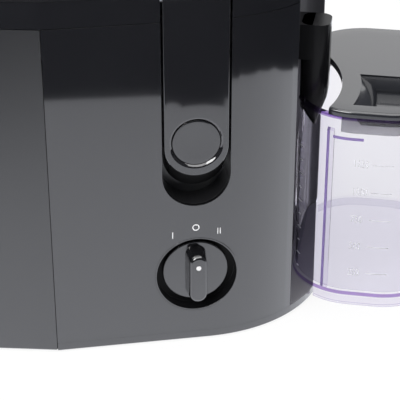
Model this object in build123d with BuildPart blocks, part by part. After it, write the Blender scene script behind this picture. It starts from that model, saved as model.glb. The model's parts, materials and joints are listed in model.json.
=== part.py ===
from build123d import *
import os
from math import cos, radians, sin

os.makedirs("parts", exist_ok=True)

# A centrifugal juicer. The motor axis is vertical; lengths are in millimetres.
# Places are measured from the motor axis on the table, and origin_shift moves them to the row's origin.

# ---------------------------------------------------------------- driving dimensions
body_half = 96.0            # motor axis to the flat front and rear faces
seam_x = -91.0              # joint between the housing and the pulp container
arc_x = 8.7                 # centre of the housing's round end
wall = 3.0
foot_height = 1.2
base_top = 6.5              # top of the base plate and of the round lip
housing_top = 222.0
fit_gap = 0.4               # between pieces that lift or slide apart
rear_corner_y = 20.0
rear_corner_r = 20.0

bay_turn = radians(-19.6)   # the way the jug slides out, from +X
bay_wall = 80.4             # motor axis to the bay's wall, along that way
bay_flare = 15.0            # how far out the wall's front end leans
bay_end = 90.0              # where the wall ends after wrapping the jug's rear corner
bay_far, bay_side = 260.0, 150.0    # beyond the machine, for cutting
lip_front, lip_back = 113.0, 90.4   # the base lip's slanting end, before and behind the jug
lip_start_y, lip_end_y = -20.0, 98.0
lip_gap = 1.6               # between the lip and the jug's skirt
jug_centre = (133.8, 39.1)  # in the bay's own axes
jug_width, jug_depth, jug_corner = 100.0, 145.0, 40.5
jug_wall = 2.5
jug_bottom, jug_floor, jug_rim = 1.0, 8.0, 141.5
jug_slot_y, jug_slot_width, jug_slot_bottom = 7.0, 26.0, 108.0
lid_notch_r = 104.0         # round notch in the jug's lid, about the housing's round end

slot_half = 21.5            # latch slot's half width
slot_bottom = 99.3
slot_depth = 20.0
arm_half = 20.0
arm_bottom, arm_face_bottom = 110.5, 120.6
arm_bevel = 8.0             # how far back the arm's lower lip slopes
arm_thickness = 14.0
pin_z, pin_depth, pin_r = 234.0, 9.0, 2.5
button_z, button_r, button_ring_r = 142.6, 14.5, 16.6

dial_z, dial_recess_r, dial_disc_r = 49.4, 27.0, 21.3
dial_recess, dial_disc_depth = 9.0, 5.0
dial_bar = (12.0, 33.0, 38.0)   # width, length at the tip, length at the root
dial_proud = 7.5

bowl_r, bowl_wall = 72.0, 2.2
bowl_floor, bowl_rim = 158.0, 223.5
basket_r, basket_z = 62.0, 181.0
spout_y, spout_width = 7.0, 23.0
shaft_r, bearing_r = 4.0, 11.0
deck_z, deck_thickness = 150.0, 3.0
stator = (66.0, 112.0)      # bottom and top of the iron stack

lid_bottom, lid_top = 222.4, 244.0
chute_r, chute_wall, chute_top = 41.0, 3.4, 366.0
pulp_left = -222.0
pulp_slope = 0.23           # how the pulp container's faces draw in, per unit of X
gland_proud = 6.0

jug_far = jug_centre[0] + jug_width / 2
handle_reach, handle_width = 34.0, 20.0
far_x = cos(bay_turn) * (jug_far + handle_reach) - sin(bay_turn) * (jug_centre[1] + handle_width / 2)
origin_shift = (-(pulp_left + far_x) / 2, (dial_proud - gland_proud) / 2)


# ---------------------------------------------------------------- planes and shared outlines
def level(z):
    """Plane parallel to the table at height z, centred on the motor axis."""
    return Plane((origin_shift[0], origin_shift[1], z))


def bay(z):
    """The same plane with its X turned to the way the jug slides out."""
    return Plane((origin_shift[0], origin_shift[1], z), x_dir=(cos(bay_turn), sin(bay_turn), 0))


def face(side, depth=0.0):
    """Plane of the front (side -1) or rear (side 1) face, sunk by depth; X across, Y up from the table."""
    y = origin_shift[1] + side * (body_half - depth)
    return Plane((origin_shift[0], y, 0), x_dir=(-side, 0, 0), z_dir=(0, side, 0))


def finish(builder, name):
    """Label the piece and write it."""
    builder.part.label = name
    export_step(builder.part, f"parts/{name}.step")


def bay_axes(x, y):
    """Turns a place in the bay's own axes to the machine's."""
    return x * cos(bay_turn) - y * sin(bay_turn), x * sin(bay_turn) + y * cos(bay_turn)


def bay_polygon(corners, mode=Mode.ADD):
    """Draws a polygon whose corners are in the bay's own axes."""
    Polygon(*[bay_axes(x, y) for x, y in corners], align=None, mode=mode)


def bay_region(grow=0.0):
    """Cuts the jug's bay out of the sketch being built; grow thickens what is cut."""
    edge = bay_wall - grow
    end = bay_end - grow
    arc_centre = (jug_centre[0] - jug_width / 2 + jug_corner, jug_centre[1] + jug_depth / 2 - jug_corner)
    bay_polygon([(edge + bay_flare, -100), (edge, jug_slot_y), (edge, arc_centre[1]),
                 (bay_far, arc_centre[1]), (bay_far, -100)], Mode.SUBTRACT)
    bay_polygon([(end, arc_centre[1] - 1), (end, bay_side), (bay_far, bay_side),
                 (bay_far, arc_centre[1] - 1)], Mode.SUBTRACT)
    with Locations(bay_axes(*arc_centre)):
        Circle(arc_centre[0] - edge, mode=Mode.SUBTRACT)


def lip_outline(grow=0.0):
    """Draws the round base lip and its run under the jug; its end is cut along a slanting line."""
    with Locations((arc_x, 0)):
        Circle(body_half + grow)
    bay_polygon([(60, lip_start_y - grow), (lip_front, lip_start_y - grow), (lip_front, lip_end_y + grow),
                 (60, lip_end_y + grow)])
    bay_polygon([(lip_front + grow, -bay_side), (lip_back + grow, lip_end_y + grow),
                 (bay_far, lip_end_y + grow), (bay_far, -bay_side)], Mode.SUBTRACT)


def housing_outline(inset=0.0):
    """Draws the housing's plan, moved inwards by inset."""
    half = body_half - inset
    left = seam_x + inset
    with Locations(((left + arc_x) / 2, 0)):
        Rectangle(arc_x - left, 2 * half)
    with Locations((arc_x, 0)):
        Circle(half)
    with Locations(((arc_x + 140) / 2, (rear_corner_y + half) / 2)):
        Rectangle(140 - arc_x, half - rear_corner_y)
    bay_region(inset)
    far_corner = vertices().sort_by(lambda v: v.X + v.Y)[-1]
    fillet(far_corner, rear_corner_r - inset)


def pulp_outline(inset=0.0, right=seam_x - fit_gap):
    """Draws the pulp container's plan: faces that draw in to the left, with round corners."""
    x1, x0 = right - inset, pulp_left + inset
    y1 = body_half - inset
    y0 = y1 - pulp_slope * (x1 - x0)
    Polygon((x1, -y1), (x1, y1), (x0, y0), (x0, -y0), align=None)
    fillet(vertices().group_by(Axis.X)[0], 34 - inset)


def jug_outline(grow=0.0):
    """Draws the jug's plan, in the bay's axes."""
    with Locations(jug_centre):
        RectangleRounded(jug_width + 2 * grow, jug_depth + 2 * grow, jug_corner + grow)


def latch_slot(half, bottom, top):
    """Draws an upright slot with a round lower end."""
    with Locations((0, bottom + half)):
        Circle(half)
    with Locations((0, (bottom + half + top) / 2)):
        Rectangle(2 * half, top - bottom - half)


def disc(plane, radius, height, bore=0.0):
    """Adds a disc, or a ring where bore is given, standing on plane."""
    with BuildSketch(plane) as ring:
        Circle(radius)
        if bore:
            Circle(bore, mode=Mode.SUBTRACT)
    extrude(ring.sketch, amount=height)


# ---------------------------------------------------------------- housing and base
with BuildPart() as motor_housing:
    with BuildSketch(level(base_top)):
        housing_outline()
    extrude(amount=housing_top - base_top)
    with BuildSketch(level(base_top)):
        housing_outline(wall)
    extrude(amount=housing_top - base_top - wall, mode=Mode.SUBTRACT)
    with BuildSketch(level(housing_top)):
        Circle(bowl_r + 0.5)
    extrude(amount=-wall - 1, mode=Mode.SUBTRACT)
    for side in (-1, 1):
        with BuildSketch(face(side)):
            latch_slot(slot_half, slot_bottom, housing_top + 1)
        extrude(amount=-slot_depth, mode=Mode.SUBTRACT)
    with BuildSketch(face(-1)):
        with Locations((0, dial_z)):
            Circle(dial_recess_r)
    extrude(amount=-2 * wall, mode=Mode.SUBTRACT)
    with BuildSketch(bay(163)):
        with Locations((bay_wall, spout_y)):
            Rectangle(12, spout_width + 4)
    extrude(amount=28, mode=Mode.SUBTRACT)
    with BuildSketch(level(housing_top)):
        with Locations((-72, -76)):
            Circle(3)
    extrude(amount=-wall - 1, mode=Mode.SUBTRACT)
    with BuildSketch(face(1)):
        with Locations((60, 40)):
            Circle(6)
    extrude(amount=-wall - 1, mode=Mode.SUBTRACT)
finish(motor_housing, "motor_housing")

foot_places = [(-74, -72), (-74, 72), (48, -60), (84, 74)]
screw_places = [(-80, -40), (-80, 40), (-20, -86), (-20, 86), (60, -52), (60, 84)]

with BuildPart() as base_plate:
    with BuildSketch(level(foot_height)):
        housing_outline()
        lip_outline()
    extrude(amount=base_top - foot_height)
    with BuildSketch(level(foot_height)):
        with PolarLocations(30, 8):
            SlotOverall(22, 4)
    extrude(amount=base_top - foot_height, mode=Mode.SUBTRACT)
    with BuildSketch(level(foot_height)):
        with Locations(*screw_places):
            Circle(2.0)
    extrude(amount=base_top - foot_height, mode=Mode.SUBTRACT)
    with BuildSketch(level(foot_height)):
        with Locations(*screw_places):
            Circle(4.0)
    extrude(amount=2, mode=Mode.SUBTRACT)
finish(base_plate, "base_plate")

with BuildPart() as rubber_feet:
    with BuildSketch(level(0)):
        with Locations(*foot_places):
            Circle(9)
    extrude(amount=foot_height)
    chamfer(edges().group_by(Axis.Z)[0], 0.6)
finish(rubber_feet, "rubber_feet")

with BuildPart() as base_screws:
    with BuildSketch(level(foot_height + 0.2)):
        with Locations(*screw_places):
            Circle(3.8)
    extrude(amount=1.8)
    with BuildSketch(level(foot_height + 2)):
        with Locations(*screw_places):
            Circle(1.9)
    extrude(amount=10)
finish(base_screws, "base_screws")

with BuildPart() as motor_deck:
    with BuildSketch(level(deck_z)):
        housing_outline(wall)
        Circle(9, mode=Mode.SUBTRACT)
        for side in (-1, 1):
            with Locations((0, side * (body_half - 10))):
                Rectangle(2 * slot_half + 5, 28, mode=Mode.SUBTRACT)
    extrude(amount=deck_thickness)
finish(motor_deck, "motor_deck")

with BuildPart() as cord_gland:
    with BuildSketch(face(1)):
        with Locations((60, 40)):
            Circle(9)
    extrude(amount=2)
    with BuildSketch(face(1, wall)):
        with Locations((60, 40)):
            Circle(5.9)
    extrude(amount=wall + gland_proud, taper=6)
    with BuildSketch(face(1, wall)):
        with Locations((60, 40)):
            Circle(3.2)
    extrude(amount=wall + gland_proud, mode=Mode.SUBTRACT)
finish(cord_gland, "cord_gland")


# ---------------------------------------------------------------- motor
def motor_bracket(z, leg_top, leg_bottom, seat_bottom, seat_top):
    """Round bracket plate with a bearing seat and four legs to the iron stack."""
    with BuildPart() as bracket:
        disc(level(z), 48, 4, bearing_r)
        disc(level(seat_bottom), bearing_r + 3, seat_top - seat_bottom, bearing_r)
        with BuildSketch(level(leg_bottom)):
            with PolarLocations(44, 4, 45):
                Rectangle(7, 7)
        extrude(amount=leg_top - leg_bottom)
    return bracket


upper_motor_bracket = motor_bracket(140, 140, stator[1], 135, 144)
finish(upper_motor_bracket, "upper_motor_bracket")
lower_motor_bracket = motor_bracket(46, stator[0], 50, 46, 56)
finish(lower_motor_bracket, "lower_motor_bracket")

with BuildPart() as motor_mount_rubbers:
    with BuildSketch(level(144)):
        with PolarLocations(36, 4, 45):
            Circle(5)
    extrude(amount=deck_z - 144)
finish(motor_mount_rubbers, "motor_mount_rubbers")

with BuildPart() as stator_core:
    with BuildSketch(level(stator[0])):
        RectangleRounded(78, 78, 12)
        Circle(23.2, mode=Mode.SUBTRACT)
        with Locations((28, 0), (-28, 0)):
            RectangleRounded(8, 44, 3, mode=Mode.SUBTRACT)
    extrude(amount=stator[1] - stator[0])
finish(stator_core, "stator_core")

with BuildPart() as field_coils:
    for x in (-28, 28):
        with BuildSketch(level(stator[0] - 6)):
            with Locations((x, 0)):
                RectangleRounded(7.4, 43.4, 2.8)
        extrude(amount=stator[1] - stator[0] + 12)
finish(field_coils, "field_coils")

with BuildPart() as brush_holders:
    for side in (-1, 1):
        with BuildSketch(level(122)):
            with Locations((0, side * 24)):
                Rectangle(10, 20)
        extrude(amount=18)
        with BuildSketch(level(124)):
            with Locations((0, side * 24)):
                Rectangle(6.1, 20)
        extrude(amount=6.1, mode=Mode.SUBTRACT)
finish(brush_holders, "brush_holders")

with BuildPart() as carbon_brushes:
    for side in (-1, 1):
        with BuildSketch(level(124.05)):
            with Locations((0, side * 20)):
                Rectangle(6, 18)
            Circle(11.06, mode=Mode.SUBTRACT)
        extrude(amount=6)
finish(carbon_brushes, "carbon_brushes")

for name, z in (("upper_bearing", 135.5), ("lower_bearing", 47.0)):
    with BuildPart() as bearing:
        disc(level(z), bearing_r, 8, shaft_r + 0.02)
    finish(bearing, name)

with BuildPart() as shaft_seal:
    disc(level(deck_z), 9, 6, shaft_r + 0.06)
finish(shaft_seal, "shaft_seal")

with BuildPart() as motor_shaft:
    disc(level(24), shaft_r, 150)
    chamfer(edges().filter_by(GeomType.CIRCLE), 0.6)
finish(motor_shaft, "motor_shaft")

with BuildPart() as armature_core:
    with BuildSketch(level(stator[0])):
        Circle(22.5)
        Circle(shaft_r, mode=Mode.SUBTRACT)
        with PolarLocations(20.5, 12):
            Rectangle(6, 3, mode=Mode.SUBTRACT)
    extrude(amount=stator[1] - stator[0])
finish(armature_core, "armature_core")

with BuildPart() as armature_windings:
    disc(level(stator[0] - 7), 19, 7, shaft_r + 4)
    disc(level(stator[1]), 19, 7, shaft_r + 4)
    with BuildSketch(level(stator[0])):
        with PolarLocations(20, 12):
            Rectangle(4.6, 2.8)
        Circle(17.5, mode=Mode.SUBTRACT)
    extrude(amount=stator[1] - stator[0])
    chamfer(edges().filter_by(GeomType.CIRCLE).group_by(Axis.Z)[0], 2)
finish(armature_windings, "armature_windings")

with BuildPart() as commutator:
    with BuildSketch(level(121)):
        Circle(11)
        Circle(shaft_r, mode=Mode.SUBTRACT)
        with PolarLocations(11, 24):
            Rectangle(2, 0.5, mode=Mode.SUBTRACT)
    extrude(amount=13)
finish(commutator, "commutator")

fan_blades = 11
with BuildPart() as cooling_fan:
    disc(level(28), 10, 12, shaft_r)
    disc(level(38), 36, 2, shaft_r)
    with BuildSketch(level(29)):
        with PolarLocations(23, fan_blades):
            Rectangle(26, 1.8, rotation=24)
    extrude(amount=9)
finish(cooling_fan, "cooling_fan")

# ---------------------------------------------------------------- drive, basket and bowl
with BuildPart() as drive_coupling:
    disc(level(158), 9, 16, shaft_r)
    with BuildSketch(level(174)):
        Circle(9)
    extrude(amount=3)
    with BuildSketch(level(174)):
        with PolarLocations(6.6, 6):
            Rectangle(2.4, 2.4)
    extrude(amount=5)
finish(drive_coupling, "drive_coupling")

with BuildPart() as basket_hub:
    disc(level(170), 16, basket_z - 170, 9.4)
    disc(level(basket_z - 3), 52, 3, 9.4)
    disc(level(basket_z), 12, 5)
finish(basket_hub, "basket_hub")

with BuildPart() as filter_basket:
    with BuildSketch(level(basket_z)):
        Circle(52)
    with BuildSketch(level(212)):
        Circle(basket_r)
    loft()
    with BuildSketch(level(basket_z)):
        Circle(51)
    with BuildSketch(level(212)):
        Circle(basket_r - 1)
    loft(mode=Mode.SUBTRACT)
    for z in (186, 195, 204):
        with BuildSketch(level(z)):
            with PolarLocations(57, 36):
                Rectangle(20, 2.4)
        extrude(amount=6, mode=Mode.SUBTRACT)
finish(filter_basket, "filter_basket")

with BuildPart() as basket_rim:
    disc(level(212), 66, 4, basket_r - 1)
finish(basket_rim, "basket_rim")

with BuildPart() as grater_disc:
    disc(level(basket_z + 0.2), 47, 1.4, 12.4)
    with BuildSketch(level(basket_z + 1.6)):
        for ring, teeth in ((20, 10), (28, 14), (36, 18), (43, 22)):
            with PolarLocations(ring, teeth):
                Rectangle(3.2, 0.9)
    extrude(amount=2)
finish(grater_disc, "grater_disc")

with BuildPart() as juice_collector:
    disc(level(bowl_floor), bowl_r, bowl_rim - bowl_floor)
    disc(level(bowl_floor + 2.5), bowl_r - bowl_wall, bowl_rim - bowl_floor)
    disc(level(housing_top), bowl_r + 4, bowl_rim - housing_top)
    with BuildSketch(level(bowl_floor + 2.5)):
        Circle(bowl_r - bowl_wall)
    extrude(amount=bowl_rim - bowl_floor, mode=Mode.SUBTRACT)
    disc(level(bowl_floor), 14, 10)
    with BuildSketch(level(bowl_floor - 1)):
        Circle(12)
    extrude(amount=12, mode=Mode.SUBTRACT)
    with BuildSketch(bay(168)):
        with Locations((bowl_r, spout_y)):
            Rectangle(30, spout_width - 5)
    extrude(amount=17, mode=Mode.SUBTRACT)
    with BuildSketch(level(bowl_rim)):
        Circle(bowl_r + 10)
    extrude(amount=bowl_rim, mode=Mode.SUBTRACT)
finish(juice_collector, "juice_collector")


def nozzle_section(z, x, length, width, corner):
    """Cross-section of the spout's nozzle at height z."""
    with BuildSketch(bay(z)) as section:
        with Locations((x, spout_y)):
            RectangleRounded(length, width, corner)
    return section.sketch


def spout_shape(inset, mode):
    """Nozzle that narrows and leans in towards its beak, with a duct back to the bowl."""
    shrink = 2 * inset
    top = nozzle_section(190 - inset, 96, 23 - shrink, spout_width - shrink, 7 - inset)
    waist = nozzle_section(130, 94.5, 20 - shrink, 21 - shrink, 6.5 - inset)
    tip = nozzle_section(112 - inset / 10, 89.5, 6 - inset * 1.4, 8 - inset * 1.4, 2 - inset / 2)
    loft([top, waist], mode=mode)
    loft([waist, tip], mode=mode)
    with BuildSketch(bay(166 + inset)) as duct:
        with Locations(((66 + 96) / 2, spout_y)):
            Rectangle(96 - 66, spout_width - shrink)
    extrude(duct.sketch, amount=24 - shrink, mode=mode)


with BuildPart() as spout:
    spout_shape(0.0, Mode.ADD)
    spout_shape(2.0, Mode.SUBTRACT)
    with BuildSketch(level(100)):
        Circle(bowl_r)
    extrude(amount=120, mode=Mode.SUBTRACT)
finish(spout, "spout")

with BuildPart() as spout_gasket:
    with BuildSketch(bay(163.2)):
        with Locations((bay_wall - 1.5, spout_y)):
            Rectangle(2.6, spout_width + 3.6)
    extrude(amount=27.6)
    with BuildSketch(bay(166)):
        with Locations((bay_wall, spout_y)):
            Rectangle(12, spout_width)
    extrude(amount=24, mode=Mode.SUBTRACT)
finish(spout_gasket, "spout_gasket")


# ---------------------------------------------------------------- latches, front and rear
def slot_liner(side):
    """Trough behind the latch slot, with the ledge that the latch hook catches."""
    back = slot_depth + 2
    with BuildPart() as liner:
        with BuildSketch(face(side, back)):
            latch_slot(slot_half + 2, slot_bottom - 2, housing_top - wall)
        extrude(amount=back - wall)
        with BuildSketch(face(side, slot_depth)):
            latch_slot(slot_half, slot_bottom, housing_top + 1)
        extrude(amount=slot_depth, mode=Mode.SUBTRACT)
        with BuildSketch(face(side, slot_depth)):
            with Locations((0, 135.5)):
                Rectangle(22, 4)
        extrude(amount=3.5)
        with BuildSketch(level(0)):
            housing_outline(wall)
        extrude(amount=housing_top, mode=Mode.INTERSECT)
    return liner


def latch_arm(side):
    """Arm that hangs from the lid's pin, with a bevelled lower lip and the button's pocket."""
    with BuildPart() as arm:
        with BuildSketch(face(side, arm_thickness)):
            latch_slot(arm_half, arm_bottom, pin_z)
        extrude(amount=arm_thickness - arm_bevel)
        with BuildSketch(face(side, arm_bevel)):
            latch_slot(arm_half, arm_bottom, pin_z)
        with BuildSketch(face(side)):
            latch_slot(arm_half, arm_face_bottom, pin_z)
        loft()
        barrel = Plane((origin_shift[0] - arm_half, origin_shift[1] + side * (body_half - pin_depth), pin_z),
                       x_dir=(0, 1, 0), z_dir=(1, 0, 0))
        disc(barrel, pin_depth, 2 * arm_half)
        with BuildSketch(barrel):
            Circle(pin_r + 0.05)
        extrude(amount=2 * arm_half, mode=Mode.SUBTRACT)
        with BuildSketch(face(side)):
            with Locations((0, button_z)):
                Circle(button_ring_r)
        with BuildSketch(face(side, 1.8)):
            with Locations((0, button_z)):
                Circle(button_r + 0.4)
        loft(mode=Mode.SUBTRACT)
        with BuildSketch(face(side, 1.7)):
            with Locations((0, button_z)):
                Circle(button_r + 0.4)
        extrude(amount=-7.3, mode=Mode.SUBTRACT)
    return arm


for name, side in (("front", -1), ("rear", 1)):
    liner = slot_liner(side)
    finish(liner, f"{name}_slot_liner")
    arm = latch_arm(side)
    finish(arm, f"{name}_latch_arm")
    with BuildPart() as hook:
        with BuildSketch(face(side, arm_thickness + 3.5)):
            with Locations((0, 129)):
                Rectangle(16, 6)
        extrude(amount=3.5)
    finish(hook, f"{name}_latch_hook")
    with BuildPart() as button:
        with BuildSketch(face(side, 5.2)):
            with Locations((0, button_z)):
                Circle(button_r)
        extrude(amount=4)
        chamfer(edges().group_by(Axis.Y)[0 if side < 0 else -1], 0.5)
    finish(button, f"{name}_release_button")
    with BuildPart() as spring:
        with BuildSketch(face(side, 9)):
            with Locations((0, button_z)):
                Circle(7)
                Circle(5.4, mode=Mode.SUBTRACT)
        extrude(amount=3.75)
    finish(spring, f"{name}_button_spring")

with BuildPart() as latch_pins:
    for side in (-1, 1):
        pin_start = Plane((origin_shift[0] - 27, origin_shift[1] + side * (body_half - pin_depth), pin_z),
                          x_dir=(0, 1, 0), z_dir=(1, 0, 0))
        disc(pin_start, pin_r, 54)
finish(latch_pins, "latch_pins")

# ---------------------------------------------------------------- lid, chute and pusher
with BuildPart() as lid:
    with BuildSketch(level(lid_bottom)):
        housing_outline()
        pulp_outline(right=seam_x)
    extrude(amount=lid_top - lid_bottom)
    fillet(edges().group_by(Axis.Z)[-1], 6)
    with BuildSketch(level(lid_bottom)):
        Circle(70)
        with Locations((-104, 0)):
            Rectangle(208, 124)
    extrude(amount=15.6, mode=Mode.SUBTRACT)
    with BuildSketch(level(lid_bottom)):
        Circle(bowl_r + 4.6)
    extrude(amount=2, mode=Mode.SUBTRACT)
    with BuildSketch(level(lid_bottom)):
        Circle(chute_r)
    extrude(amount=lid_top, mode=Mode.SUBTRACT)
    for side in (-1, 1):
        with BuildSketch(level(lid_bottom - 1)):
            with Locations((0, side * (body_half - pin_depth))):
                Rectangle(2 * slot_half, 2 * pin_depth + 1)
        extrude(amount=lid_top, mode=Mode.SUBTRACT)
        pin_start = Plane((origin_shift[0] - 27, origin_shift[1] + side * (body_half - pin_depth), pin_z),
                          x_dir=(0, 1, 0), z_dir=(1, 0, 0))
        with BuildSketch(pin_start):
            Circle(pin_r)
        extrude(amount=54, mode=Mode.SUBTRACT)
finish(lid, "lid")

with BuildPart() as lid_seal:
    disc(level(bowl_rim + 0.3), bowl_r + 3, lid_bottom + 2 - bowl_rim - 0.3, bowl_r)
finish(lid_seal, "lid_seal")

with BuildPart() as feed_chute:
    disc(level(194), chute_r, chute_top - 194)
    disc(level(lid_top), chute_r + 7, 4)
    with BuildSketch(level(chute_top - 22)):
        Circle(chute_r)
    with BuildSketch(level(chute_top)):
        Circle(chute_r + 8)
    loft()
    disc(level(chute_top), chute_r + 8, 3)
    with BuildSketch(level(194)):
        Circle(chute_r - chute_wall)
    extrude(amount=chute_top, mode=Mode.SUBTRACT)
finish(feed_chute, "feed_chute")

pusher_r = chute_r - chute_wall - 0.4
with BuildPart() as pusher:
    disc(level(202), pusher_r, chute_top + 3.4 - 202)
    with BuildSketch(level(205)):
        Circle(pusher_r - 2.5)
    extrude(amount=chute_top, mode=Mode.SUBTRACT)
    with BuildSketch(level(206)):
        with PolarLocations(pusher_r, 4):
            Rectangle(1.6, 5)
    extrude(amount=chute_top - 206, mode=Mode.SUBTRACT)
finish(pusher, "pusher")

with BuildPart() as pusher_cap:
    disc(level(chute_top + 3.4), chute_r + 7.5, 20)
    fillet(edges().group_by(Axis.Z)[-1], 6)
    with BuildSketch(level(chute_top + 3.4)):
        Circle(pusher_r - 2.5)
    extrude(amount=15, mode=Mode.SUBTRACT)
finish(pusher_cap, "pusher_cap")

# ---------------------------------------------------------------- dial, switch and electrics
with BuildPart() as dial_bezel:
    with BuildSketch(face(-1, dial_recess + 2)):
        with Locations((0, dial_z)):
            Circle(dial_recess_r)
    extrude(amount=dial_recess + 2)
    with BuildSketch(face(-1, dial_recess)):
        with Locations((0, dial_z)):
            Circle(dial_recess_r - 1.2)
    extrude(amount=dial_recess, mode=Mode.SUBTRACT)
    with BuildSketch(face(-1)):
        with Locations((0, dial_z)):
            Circle(5)
    extrude(amount=-dial_recess - 3, mode=Mode.SUBTRACT)
finish(dial_bezel, "dial_bezel")

with BuildPart() as dial_knob:
    with BuildSketch(face(-1, dial_recess - 0.6)):
        with Locations((0, dial_z)):
            Circle(dial_disc_r)
    extrude(amount=dial_recess - 0.6 - dial_disc_depth)
    fillet(edges().group_by(Axis.Y)[0], 0.8)
    with BuildSketch(face(-1, dial_disc_depth)):
        with Locations((0, dial_z)):
            SlotOverall(dial_bar[2], dial_bar[0] + 1.6, rotation=90)
    with BuildSketch(face(-1, -dial_proud)):
        with Locations((0, dial_z)):
            SlotOverall(dial_bar[1], dial_bar[0] - 1.0, rotation=90)
    loft()
    fillet(edges().group_by(Axis.Y)[0], 1.2)
finish(dial_knob, "dial_knob")

with BuildPart() as dial_shaft:
    with BuildSketch(face(-1, 26)):
        with Locations((0, dial_z)):
            Circle(3)
    extrude(amount=26 - dial_recess + 0.6)
finish(dial_shaft, "dial_shaft")

with BuildPart() as rotary_switch:
    with BuildSketch(face(-1, 34)):
        with Locations((0, dial_z)):
            RectangleRounded(30, 30, 3)
    extrude(amount=34 - dial_recess - 2.2)
    with BuildSketch(face(-1, 28)):
        with Locations((0, dial_z)):
            Circle(3.05)
    extrude(amount=28, mode=Mode.SUBTRACT)
finish(rotary_switch, "rotary_switch")

def board_face(x):
    """Upright plane beside the seam wall, looking along +X."""
    return Plane((origin_shift[0] + seam_x + wall + x, origin_shift[1], 70), x_dir=(0, 1, 0), z_dir=(1, 0, 0))


board_thickness = 1.6
board_parts = [(-30, 14, 18, 14), (-4, 12, 12, 20), (24, -8, 24, 18), (-26, -16, 16, 12)]
with BuildPart() as control_board:
    with BuildSketch(board_face(3)):
        Rectangle(90, 60)
    extrude(amount=board_thickness)
    with BuildSketch(board_face(3 + board_thickness)):
        for y, z, width, height in board_parts:
            with Locations((y, z)):
                Rectangle(width, height)
    extrude(amount=9)
finish(control_board, "control_board")

with BuildPart() as safety_switch:
    with BuildSketch(level(184)):
        with Locations((-72, -76)):
            Rectangle(18, 10)
    extrude(amount=14)
finish(safety_switch, "safety_switch")

with BuildPart() as interlock_plunger:
    with BuildSketch(level(198.4)):
        with Locations((-72, -76)):
            Circle(2.7)
    extrude(amount=housing_top - 198.4 + 0.1)
    fillet(edges().group_by(Axis.Z)[-1], 1)
finish(interlock_plunger, "interlock_plunger")

# ---------------------------------------------------------------- pulp container
with BuildPart() as pulp_container:
    with BuildSketch(level(1)):
        pulp_outline()
    extrude(amount=housing_top - 1)
    fillet(edges().group_by(Axis.Z)[0], 1.2)
    with BuildSketch(level(4)):
        pulp_outline(2.5)
    extrude(amount=housing_top, mode=Mode.SUBTRACT)
finish(pulp_container, "pulp_container")

# ---------------------------------------------------------------- jug
with BuildPart() as jug_body:
    with BuildSketch(bay(jug_bottom)):
        jug_outline()
    extrude(amount=jug_rim - jug_bottom)
    with BuildSketch(bay(jug_rim - 3)):
        jug_outline(0.9)
    extrude(amount=3)
    with BuildSketch(bay(jug_floor + 2.5)):
        jug_outline(-jug_wall)
    extrude(amount=jug_rim, mode=Mode.SUBTRACT)
    with BuildSketch(bay(jug_bottom)):
        jug_outline(-jug_wall)
    extrude(amount=jug_floor - jug_bottom, mode=Mode.SUBTRACT)
    with BuildSketch(level(0)):
        lip_outline(lip_gap)
    extrude(amount=base_top + 1, mode=Mode.SUBTRACT)
    with BuildSketch(bay(jug_slot_bottom)):
        with Locations((jug_centre[0] - jug_width / 2, jug_slot_y)):
            Rectangle(16, jug_slot_width)
    extrude(amount=jug_rim, mode=Mode.SUBTRACT)
finish(jug_body, "jug_body")

handle_x = cos(bay_turn) * jug_far - sin(bay_turn) * jug_centre[1]
handle_y = sin(bay_turn) * jug_far + cos(bay_turn) * jug_centre[1]
handle_plane = Plane((origin_shift[0] + handle_x, origin_shift[1] + handle_y, 84),
                     x_dir=(cos(bay_turn), sin(bay_turn), 0), z_dir=(sin(bay_turn), -cos(bay_turn), 0))
with BuildPart() as jug_handle:
    with BuildSketch(handle_plane):
        RectangleRounded(2 * handle_reach, 96, 20)
        RectangleRounded(2 * handle_reach - 18, 78, 13, mode=Mode.SUBTRACT)
        with Locations((-handle_reach, 0)):
            Rectangle(2 * handle_reach, 120, mode=Mode.SUBTRACT)
    extrude(amount=handle_width / 2, both=True)
finish(jug_handle, "jug_handle")


def notch_for_housing(radius, z, height):
    """Cuts the round notch that clears the housing out of the jug's lid."""
    with BuildSketch(level(z)) as notch:
        with Locations((arc_x, 0)):
            Circle(radius)
    extrude(notch.sketch, amount=height, mode=Mode.SUBTRACT)


def grip_pocket(inset):
    """Draws the jug lid's grip pocket, in the bay's axes."""
    with Locations(jug_centre):
        RectangleRounded(jug_width - 20 - 2 * inset, jug_depth - 20 - 2 * inset, jug_corner - 10 - inset)
    with Locations((jug_centre[0], jug_centre[1] + jug_depth / 2 - 10 - inset)):
        Rectangle(jug_width, jug_depth + 5, mode=Mode.SUBTRACT)


lid_plate_z = jug_rim + 0.3
with BuildPart() as jug_lid:
    with BuildSketch(bay(lid_plate_z)):
        jug_outline(0.9)
    extrude(amount=3.4)
    with BuildSketch(bay(125)):
        jug_outline(-jug_wall - 7)
        jug_outline(-jug_wall - 9)
    extrude(amount=lid_plate_z - 125)
    with BuildSketch(bay(125)):
        jug_outline(-jug_wall - 9)
    extrude(amount=lid_plate_z - 125, mode=Mode.SUBTRACT)
    with BuildSketch(bay(132)):
        grip_pocket(-2)
    extrude(amount=lid_plate_z - 132)
    notch_for_housing(lid_notch_r, 120, 40)
    with BuildSketch(bay(134)):
        grip_pocket(0)
        with Locations((arc_x * cos(bay_turn), -arc_x * sin(bay_turn))):
            Circle(lid_notch_r + 12.5, mode=Mode.SUBTRACT)
    extrude(amount=20, mode=Mode.SUBTRACT)
finish(jug_lid, "jug_lid")

with BuildPart() as foam_separator:
    with BuildSketch(bay(26)):
        with Locations((160, jug_centre[1])):
            Rectangle(2, 104)
    extrude(amount=132 - 26)
finish(foam_separator, "foam_separator")
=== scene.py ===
import json
from math import cos, pi, radians, sin

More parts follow.
